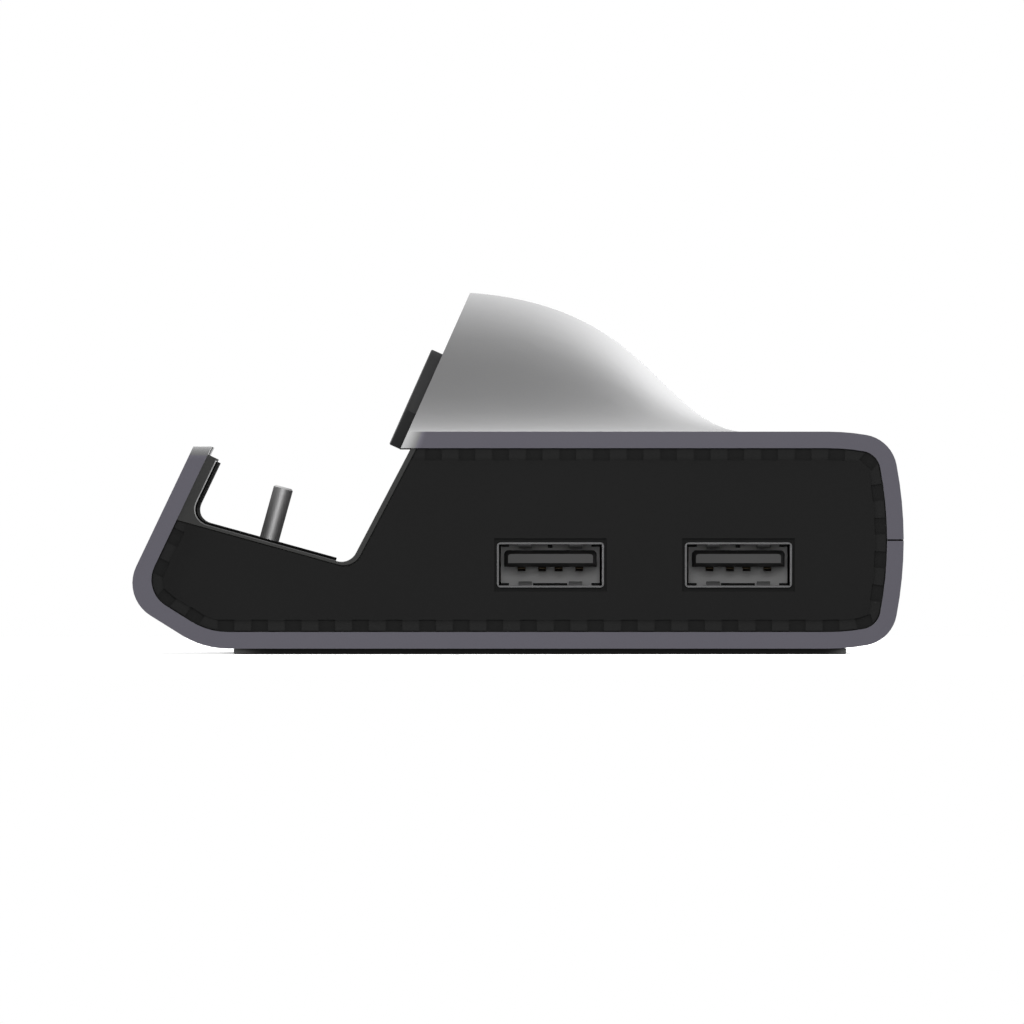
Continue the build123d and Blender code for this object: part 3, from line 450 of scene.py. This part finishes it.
def makeFacingGroup():  # 1 on faces that look along X, fading out round their edges
    group, take, give = newGroup("endFacing", {"Start": 0.9, "Full": 0.99}, {"Mask": "NodeSocketFloat"})
    shape = group.nodes.new("ShaderNodeNewGeometry")
    split = group.nodes.new("ShaderNodeSeparateXYZ")
    group.links.new(shape.outputs["Normal"], split.inputs[0])
    fade = group.nodes.new("ShaderNodeMapRange")
    fade.interpolation_type = "SMOOTHSTEP"
    group.links.new(mathNode(group, "ABSOLUTE", split.outputs["X"], 0), fade.inputs["Value"])
    group.links.new(take.outputs["Start"], fade.inputs["From Min"])
    group.links.new(take.outputs["Full"], fade.inputs["From Max"])
    group.links.new(fade.outputs["Result"], give.inputs["Mask"])
    return group


def makeDepthGroup():  # 1 on what lies further in than Depth, measured from the middle along X
    group, take, give = newGroup("setBack", {"Depth": 0.059}, {"Mask": "NodeSocketFloat"})
    place = group.nodes.new("ShaderNodeTexCoord")
    split = group.nodes.new("ShaderNodeSeparateXYZ")
    group.links.new(place.outputs["Object"], split.inputs[0])
    inner = mathNode(group, "LESS_THAN", mathNode(group, "ABSOLUTE", split.outputs["X"], 0), take.outputs["Depth"])
    group.links.new(inner, give.inputs["Mask"])
    return group


grainGroup = makeGrainGroup()
facingGroup = makeFacingGroup()
depthGroup = makeDepthGroup()


def newMaterial(name):
    material = bpy.data.materials.new(name)
    material.use_nodes = True
    return material, material.node_tree, material.node_tree.nodes["Principled BSDF"]


def useGroup(tree, group, **values):
    node = tree.nodes.new("ShaderNodeGroup")
    node.node_tree = group
    for label, value in values.items():
        node.inputs[label].default_value = value
    return node


def toneColour(tree, colour, tone):  # colour brightened or darkened by a small tone
    node = tree.nodes.new("ShaderNodeHueSaturation")
    if isinstance(colour, tuple):
        node.inputs["Color"].default_value = (*colour, 1)
    else:
        tree.links.new(colour, node.inputs["Color"])
    tree.links.new(mathNode(tree, "ADD", tone, 1), node.inputs["Value"])
    return node.outputs["Color"]


def addBump(tree, shader, height, distance):
    bump = tree.nodes.new("ShaderNodeBump")
    bump.inputs["Distance"].default_value = distance
    bump.inputs["Strength"].default_value = 1
    tree.links.new(height, bump.inputs["Height"])
    tree.links.new(bump.outputs["Normal"], shader.inputs["Normal"])


def mixColour(tree, first, second, mask):  # second colour where the mask is 1
    mix = tree.nodes.new("ShaderNodeMix")
    mix.data_type = "RGBA"
    for label, colour in (("A", first), ("B", second)):
        if isinstance(colour, tuple):
            mix.inputs[label].default_value = (*colour, 1)
        else:
            tree.links.new(colour, mix.inputs[label])
    tree.links.new(mask, mix.inputs["Factor"])
    return mix.outputs["Result"]


def endFinishAndPaintedLight(tree, sides, ends, start):  # ends that look along X get another colour: the milled finish on the aluminium, painted light on the black plastics, painted shade on the rubber pad and the steel
    facing = useGroup(tree, facingGroup, Start=start)
    return mixColour(tree, sides, ends, facing.outputs["Mask"])


def paintedDepthColour(tree, outer, inner, depth):  # faces that lie deeper get painted shade in the shells and sockets, painted light on the panel recesses and the socket back walls
    deep = useGroup(tree, depthGroup, Depth=depth)
    return mixColour(tree, outer, inner, deep.outputs["Mask"])


plainSet = {"driftScale": 60, "drift": 0.2, "roughSpread": 0.1, "metal": 0, "shine": 0.5,
            "endStart": 0.9}  # what a finish has where it says nothing else


def grainSurface(tree, shader, colour, values):  # tone, roughness and bump from the shared grain
    values = {**plainSet, **values}
    grain = useGroup(tree, grainGroup, **{"Grain Scale": values["grain"], "Drift Scale": values["driftScale"],
                                          "Drift": values["drift"]})
    tree.links.new(toneColour(tree, colour, grain.outputs["Tone"]), shader.inputs["Base Color"])
    spread = mathNode(tree, "MULTIPLY", grain.outputs["Height"], values["roughSpread"])
    tree.links.new(mathNode(tree, "ADD", spread, values["rough"]), shader.inputs["Roughness"])
    shader.inputs["Metallic"].default_value = values["metal"]
    shader.inputs["Specular IOR Level"].default_value = values["shine"]
    addBump(tree, shader, grain.outputs["Height"], values["bump"])


def grainFinish(name, values):  # metal, plastic or rubber, with other colours on its ends and deeper in: the milled aluminium ends, and elsewhere painted light and shade
    material, tree, shader = newMaterial(name)
    colour = values["colour"]
    if "ends" in values:
        ends = values["ends"]
        for label in ("inner", "deep"):
            if label in values:
                ends = paintedDepthColour(tree, ends, values[label], values[label + "From"])
        colour = endFinishAndPaintedLight(tree, colour, ends, values.get("endStart", plainSet["endStart"]))
    grainSurface(tree, shader, colour, values)
    return material


# painted highlight: pale up the lip, dimmer along the tray, as the edge's light line fades
filmSet = {"pale": (0.75, 0.75, 0.75), "dim": (0.2, 0.2, 0.2), "dimBelow": 0.0155, "paleAbove": 0.0172,
           "rough": 0.35, "grain": 3000, "driftScale": 300, "drift": 0.3, "bump": 0.000004}


def highlightFilmFinish(name):  # pale sheet for a painted highlight along the mat's edge: pale where it bends up the lip, greyer under the tray
    material, tree, shader = newMaterial(name)
    place = tree.nodes.new("ShaderNodeTexCoord")
    split = tree.nodes.new("ShaderNodeSeparateXYZ")
    tree.links.new(place.outputs["Object"], split.inputs[0])
    rise = tree.nodes.new("ShaderNodeMapRange")
    rise.inputs["From Min"].default_value = filmSet["dimBelow"]
    rise.inputs["From Max"].default_value = filmSet["paleAbove"]
    tree.links.new(split.outputs["Z"], rise.inputs["Value"])
    colour = mixColour(tree, filmSet["dim"], filmSet["pale"], rise.outputs["Result"])
    grainSurface(tree, shader, colour, filmSet)
    return material


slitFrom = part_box("usb_a_front_tongue")[0].x + coreSet["root"] - coreSet["slitShade"]
finishSet = {  # ends look along X; inner and deep lie further in than their From
    # painted shade: the shells' inner faces further in than innerFrom are darkened; the bluish ends are the milled
    # finish
    "anodisedGrey": {"colour": (0.27, 0.27, 0.272), "ends": (0.249, 0.24, 0.285), "endStart": 0.92,
                     "inner": (0.03, 0.03, 0.03), "innerFrom": 0.0597,
                     "rough": 0.72, "roughSpread": 0.12, "metal": 0.45, "grain": 7000,
                     "driftScale": 40, "drift": 0.08, "bump": 0.000004},
    # painted light: the black insulator is lighter on faces that look along X and pale on the back wall past
    # innerFrom; the slits past deepFrom keep its own black
    "insulatorBlack": {"colour": (0.006, 0.006, 0.006), "ends": (0.095, 0.095, 0.095),
                       "inner": (0.66, 0.66, 0.66), "innerFrom": 0.0555,
                       "deep": (0.006, 0.006, 0.006), "deepFrom": slitFrom,
                       "rough": 0.45, "grain": 5000, "driftScale": 80, "drift": 0.15, "bump": 0.000005},
    # painted light: the recessed band and ribs further in than innerFrom are lighter than the face, against their
    # shade
    "panelBlack": {"colour": (0.0135, 0.0135, 0.0135), "ends": (0.0137, 0.0137, 0.0137),
                   "inner": (0.029, 0.029, 0.029), "innerFrom": 0.0591,
                   "rough": 0.5, "shine": 0.2, "grain": 5000, "bump": 0.000006},
    # painted light: the black cradle is lighter on its faces that look along X
    "cradleBlack": {"colour": (0.014, 0.014, 0.0145), "ends": (0.065, 0.065, 0.063), "rough": 0.45, "shine": 0.3,
                    "grain": 5000, "bump": 0.000005},
    "linerBlack": {"colour": (0.005, 0.005, 0.005), "rough": 0.7, "shine": 0.05, "grain": 4000, "bump": 0.000004},
    # painted shade: the same rubber is darker on faces that look straight along X than on its tilted upper flank
    "padGrey": {"colour": (0.055, 0.055, 0.056), "ends": (0.02, 0.02, 0.0205), "rough": 0.6, "shine": 0.3,
                "grain": 4000, "bump": 0.00001},
    "footBlack": {"colour": (0.01, 0.01, 0.01), "rough": 0.62, "shine": 0.3, "grain": 3500, "bump": 0.000012},
    "plugSteel": {"colour": (0.98, 0.98, 0.98), "rough": 0.52, "metal": 0.95, "grain": 12000, "bump": 0.000002},
    # painted shade: the steel is darker on its rims that look along X and darker still deeper in than innerFrom
    "platedSteel": {"colour": (0.36, 0.36, 0.365), "ends": (0.14, 0.14, 0.142),
                    "inner": (0.06, 0.06, 0.06), "innerFrom": 0.0588,
                    "rough": 0.4, "metal": 1, "grain": 12000, "bump": 0.000002},
    # painted shade: the gold contacts are black on their ends that look along X
    "contactGold": {"colour": (0.7, 0.5, 0.22), "ends": (0.006, 0.006, 0.006), "rough": 0.2, "metal": 1,
                    "grain": 12000, "bump": 0.000001},
    # painted shade: a dark copy of the gold contacts, as they lie in shade under the tongue
    "contactPaintedShade": {"colour": (0.045, 0.035, 0.022), "rough": 0.35, "metal": 1, "grain": 12000, "bump": 0.000001},
    "boardGreen": {"colour": (0.012, 0.07, 0.035), "rough": 0.35, "grain": 2500, "bump": 0.00001, "drift": 0.5},
    "zincSteel": {"colour": (0.5, 0.5, 0.5), "rough": 0.3, "metal": 1, "grain": 8000, "bump": 0.000003},
    "chipBlack": {"colour": (0.018, 0.018, 0.02), "rough": 0.55, "grain": 6000, "bump": 0.000006},
    "ceramicTan": {"colour": (0.33, 0.24, 0.15), "rough": 0.5, "grain": 6000, "bump": 0.000004},
    "thermalGrey": {"colour": (0.35, 0.37, 0.42), "rough": 0.7, "grain": 1500, "bump": 0.00004},
    "ribbonWhite": {"colour": (0.7, 0.7, 0.66), "rough": 0.4, "grain": 3000, "bump": 0.000004},
}
finishes = {name: grainFinish(name, values) for name, values in finishSet.items()}
finishes["filmPaintedHighlight"] = highlightFilmFinish("filmPaintedHighlight")

slotFinish = {
    "anodised": "anodisedGrey", "panel_black": "panelBlack", "cradle_black": "cradleBlack", "liner": "linerBlack",
    "pad_rubber": "padGrey", "foot_rubber": "footBlack", "socket_steel": "platedSteel",
    "insulator": "insulatorBlack", "contact_gold": "contactGold", "board_green": "boardGreen",
    "screw_steel": "zincSteel", "chip_black": "chipBlack", "ceramic": "ceramicTan",
    "thermal_grey": "thermalGrey", "ribbon_white": "ribbonWhite",
}
nodeFinish = {"plug_shell": "plugSteel"}
for row in frame["record"]["subparts"]:
    node = nodes[row["node"]]
    node.data.materials.clear()
    node.data.materials.append(finishes[nodeFinish.get(row["node"], slotFinish[row["material_slot"]])])
for piece, finish in madePieces.items():
    piece.data.materials.clear()
    piece.data.materials.append(finishes[finish])
print("finishes set:", len(finishes))


# floor, light and camera
floorSet = {"size": 1.6, "colour": (0.86, 0.86, 0.86), "rough": 0.9, "shine": 0.1, "glow": 0.35}
lightAim = Vector((0, 0, 0.02))
lightSet = {
    "overhead": {"place": (0.0, 0.0, 0.7), "size": (0.9, 0.9), "power": 0.2},
    "rear": {"place": (-0.24, 1.0, 0.48), "size": (0.7, 0.7), "power": 43.0},
    "front": {"place": (0.0, -1.0, 0.2), "size": (0.6, 0.6), "power": 20.0},
    "fill": {"place": (1.5, 0.0, 0.12), "size": (0.3, 0.3), "power": 2.8},
}
worldSet = {"bright": 0.72, "dark": 0.29, "brightFrom": -0.6, "darkFrom": 0.8}
cameraSet = {"imageSide": 1024, "pixelsPerMetre": 8250, "centreY": -0.000727, "centreZ": 0.017256, "away": 5.9,
             "fromY": -0.02, "fromZ": 0.016, "sensor": 36, "clip": (0.1, 40)}

deselectAll()
bpy.ops.mesh.primitive_plane_add(size=floorSet["size"], location=(0, 0, 0))
floor = bpy.context.object
floor.name = "studioFloor"
floorMaterial, floorTree, floorShader = newMaterial("floorPale")
floorShader.inputs["Base Color"].default_value = (*floorSet["colour"], 1)
floorShader.inputs["Roughness"].default_value = floorSet["rough"]
floorShader.inputs["Specular IOR Level"].default_value = floorSet["shine"]
floorShader.inputs["Emission Color"].default_value = (1, 1, 1, 1)
floorShader.inputs["Emission Strength"].default_value = floorSet["glow"]
floor.data.materials.append(floorMaterial)
floor.visible_diffuse = False  # the floor catches shadows and lights nothing
floor.visible_glossy = False

for label, values in lightSet.items():
    bpy.ops.object.light_add(type="AREA", location=values["place"])
    lamp = bpy.context.object
    lamp.name = label
    lamp.rotation_euler = (lightAim - lamp.location).to_track_quat("-Z", "Y").to_euler()
    lamp.data.shape = "RECTANGLE"
    lamp.data.size, lamp.data.size_y = values["size"]
    lamp.data.energy = values["power"]
    lamp.visible_camera = False

scene = bpy.context.scene
world = bpy.data.worlds.new("studio")
scene.world = world
world.use_nodes = True
worldTree = world.node_tree
backLight = worldTree.nodes["Background"]  # dimmer on the camera's side, and plain white to the camera
backLight.inputs["Color"].default_value = (1, 1, 1, 1)
way = worldTree.nodes.new("ShaderNodeTexCoord")
wayX = worldTree.nodes.new("ShaderNodeSeparateXYZ")
fall = worldTree.nodes.new("ShaderNodeMapRange")
fall.interpolation_type = "SMOOTHSTEP"
for label, value in (("From Min", worldSet["brightFrom"]), ("From Max", worldSet["darkFrom"]),
                     ("To Min", worldSet["bright"]), ("To Max", worldSet["dark"])):
    fall.inputs[label].default_value = value
worldTree.links.new(way.outputs["Generated"], wayX.inputs[0])
worldTree.links.new(wayX.outputs["X"], fall.inputs["Value"])
worldTree.links.new(fall.outputs["Result"], backLight.inputs["Strength"])
backWhite = worldTree.nodes.new("ShaderNodeBackground")
backWhite.inputs["Color"].default_value = (1, 1, 1, 1)
rays = worldTree.nodes.new("ShaderNodeLightPath")
mixWorld = worldTree.nodes.new("ShaderNodeMixShader")
worldTree.links.new(rays.outputs["Is Camera Ray"], mixWorld.inputs[0])
worldTree.links.new(backLight.outputs[0], mixWorld.inputs[1])
worldTree.links.new(backWhite.outputs[0], mixWorld.inputs[2])
worldTree.links.new(mixWorld.outputs[0], worldTree.nodes["World Output"].inputs["Surface"])
scene.view_settings.view_transform = "Standard"

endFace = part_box("end_panel_right")[1].x
stand = Vector((endFace + cameraSet["away"], cameraSet["fromY"], cameraSet["fromZ"]))
aim = Vector((endFace, cameraSet["centreY"], cameraSet["centreZ"]))
bpy.ops.object.camera_add(location=stand, rotation=(aim - stand).to_track_quat("-Z", "Y").to_euler())
camera = bpy.context.object
camera.data.sensor_width = cameraSet["sensor"]
camera.data.lens = cameraSet["away"] * cameraSet["sensor"] * cameraSet["pixelsPerMetre"] / cameraSet["imageSide"]
camera.data.clip_start, camera.data.clip_end = cameraSet["clip"]
scene.camera = camera
print("camera set, lens", round(camera.data.lens))
